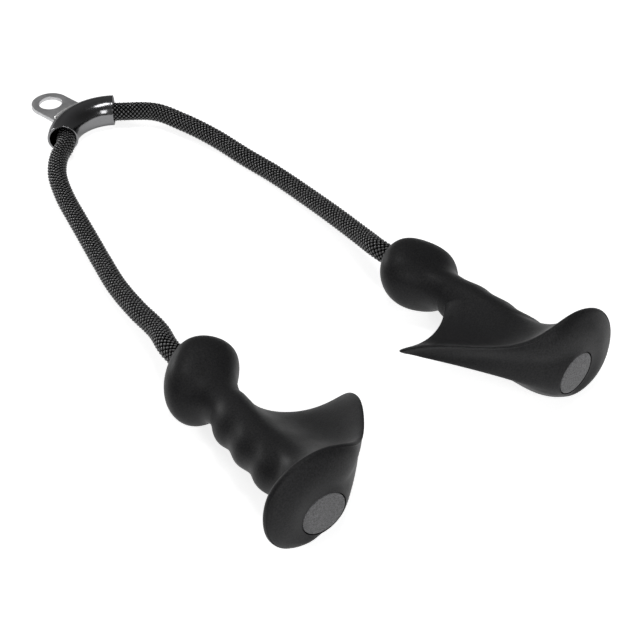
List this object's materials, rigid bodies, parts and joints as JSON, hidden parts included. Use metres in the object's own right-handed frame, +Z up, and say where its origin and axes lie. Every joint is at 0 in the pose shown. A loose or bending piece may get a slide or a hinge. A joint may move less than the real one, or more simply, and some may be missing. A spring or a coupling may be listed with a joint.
{
  "type": "triceps rope attachment",
  "caption": "Cable machine rope attachment: a bent tube yoke with a carabiner tab, one braided rope and two moulded handles with a palm rest and a collar.",
  "frame": {"origin": "on the floor, under the middle of everything but the rope, with the attachment lying down", "axes": "+Y along the rope to the yoke, +X across to the right handle, +Z up"},
  "size_m": [0.2985, 0.5572, 0.0695],
  "materials": {
    "black_nickel": "black nickel plate, glossy",
    "satin_steel": "satin ground plate",
    "weld_steel": "bright weld bead",
    "braid": "black nylon braid with grey flecks",
    "rubber": "matte soft-touch moulding",
    "nylon": "plain black moulding",
    "zinc_steel": "zinc plated",
    "aluminium": "crimped, plain",
    "cap_grey": "grey, finely textured"
  },
  "bodies": {
    "yoke": {"yoke_tube": "black_nickel", "yoke_tab": "satin_steel", "weld_upper": "weld_steel", "weld_lower": "weld_steel", "rope_in_yoke": "braid", "rope_flex_left": "braid", "rope_flex_right": "braid"},
    "arm_left": {"rope_left": "braid", "rope_tail_left": "braid", "ferrule_left": "aluminium"},
    "arm_right": {"rope_right": "braid", "rope_tail_right": "braid", "ferrule_right": "aluminium"},
    "handle_left": {"grip_left": "rubber", "liner_left": "nylon", "washer_left": "zinc_steel", "end_cap_left": "cap_grey"},
    "handle_right": {"grip_right": "rubber", "liner_right": "nylon", "washer_right": "zinc_steel", "end_cap_right": "cap_grey"}
  },
  "joints": [
    {"name": "swing_left", "type": "hinge", "parent": "yoke", "child": "arm_left", "pos_m": [-0.01871, 0.19433, 0.01301], "axis": [0, 0, -1], "range_deg": [-2, 35], "deforming": ["rope_flex_left"]},
    {"name": "swivel_left", "type": "hinge", "parent": "arm_left", "child": "handle_left", "pos_m": [-0.097, -0.093, 0.02541], "axis": [-0.0523, -0.9986, -0.0024], "continuous": true},
    {"name": "swing_right", "type": "hinge", "parent": "yoke", "child": "arm_right", "pos_m": [0.0561, 0.20868, 0.0129], "axis": [0, 0, 1], "range_deg": [-2, 35], "deforming": ["rope_flex_right"]},
    {"name": "swivel_right", "type": "hinge", "parent": "arm_right", "child": "handle_right", "pos_m": [0.09, -0.102, 0.02777], "axis": [0.0959, -0.9954, -0.0034], "continuous": true}
  ]
}
